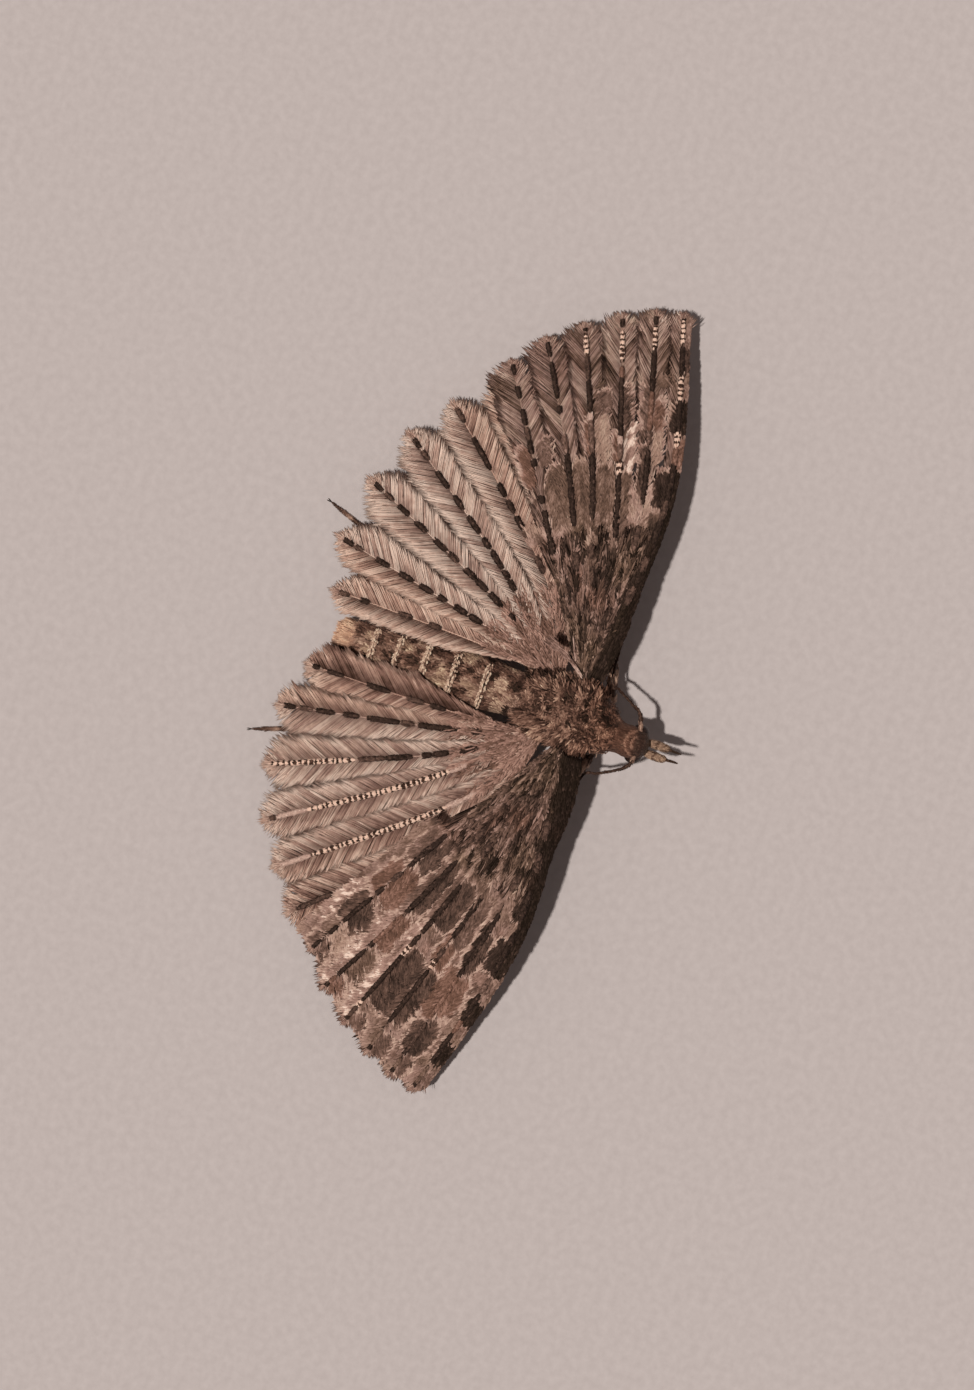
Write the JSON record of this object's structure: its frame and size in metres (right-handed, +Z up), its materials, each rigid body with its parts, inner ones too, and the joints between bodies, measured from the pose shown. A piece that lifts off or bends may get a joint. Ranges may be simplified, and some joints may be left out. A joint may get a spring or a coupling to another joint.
{
  "type": "moth",
  "caption": "Still life-size many-plumed moth, wings spread flat in one fan of feathered plumes, antennae swept back along their front edges, resting on its feet.",
  "frame": {"origin": "on the floor, under the middle of the whole animal's box", "axes": "+X to the animal's right, +Y towards its head, +Z up from the floor"},
  "size_m": [0.015, 0.0074, 0.002],
  "materials": {
    "wing_scales": "matte wing scales and hair fringes, banded cream, taupe and dark brown",
    "body_scales": "matte shaggy body scales, mottled brown",
    "head_scales": "smooth flat head scales, brown to dark purplish brown",
    "pale_scales": "matte pale tan scales, faintly banded",
    "eye": "glossy dark compound eye"
  },
  "bodies": {
    "root": {"thorax": "body_scales", "abdomen": "body_scales", "head": "head_scales", "eye_left": "eye", "palp_left": "pale_scales", "antenna_left": "pale_scales", "foreleg_left": "pale_scales", "midleg_left": "pale_scales", "hindleg_left": "pale_scales", "forewing_left": "wing_scales", "hindwing_left": "wing_scales", "eye_right": "eye", "palp_right": "pale_scales", "antenna_right": "pale_scales", "foreleg_right": "pale_scales", "midleg_right": "pale_scales", "hindleg_right": "pale_scales", "forewing_right": "wing_scales", "hindwing_right": "wing_scales"}
  },
  "joints": []
}
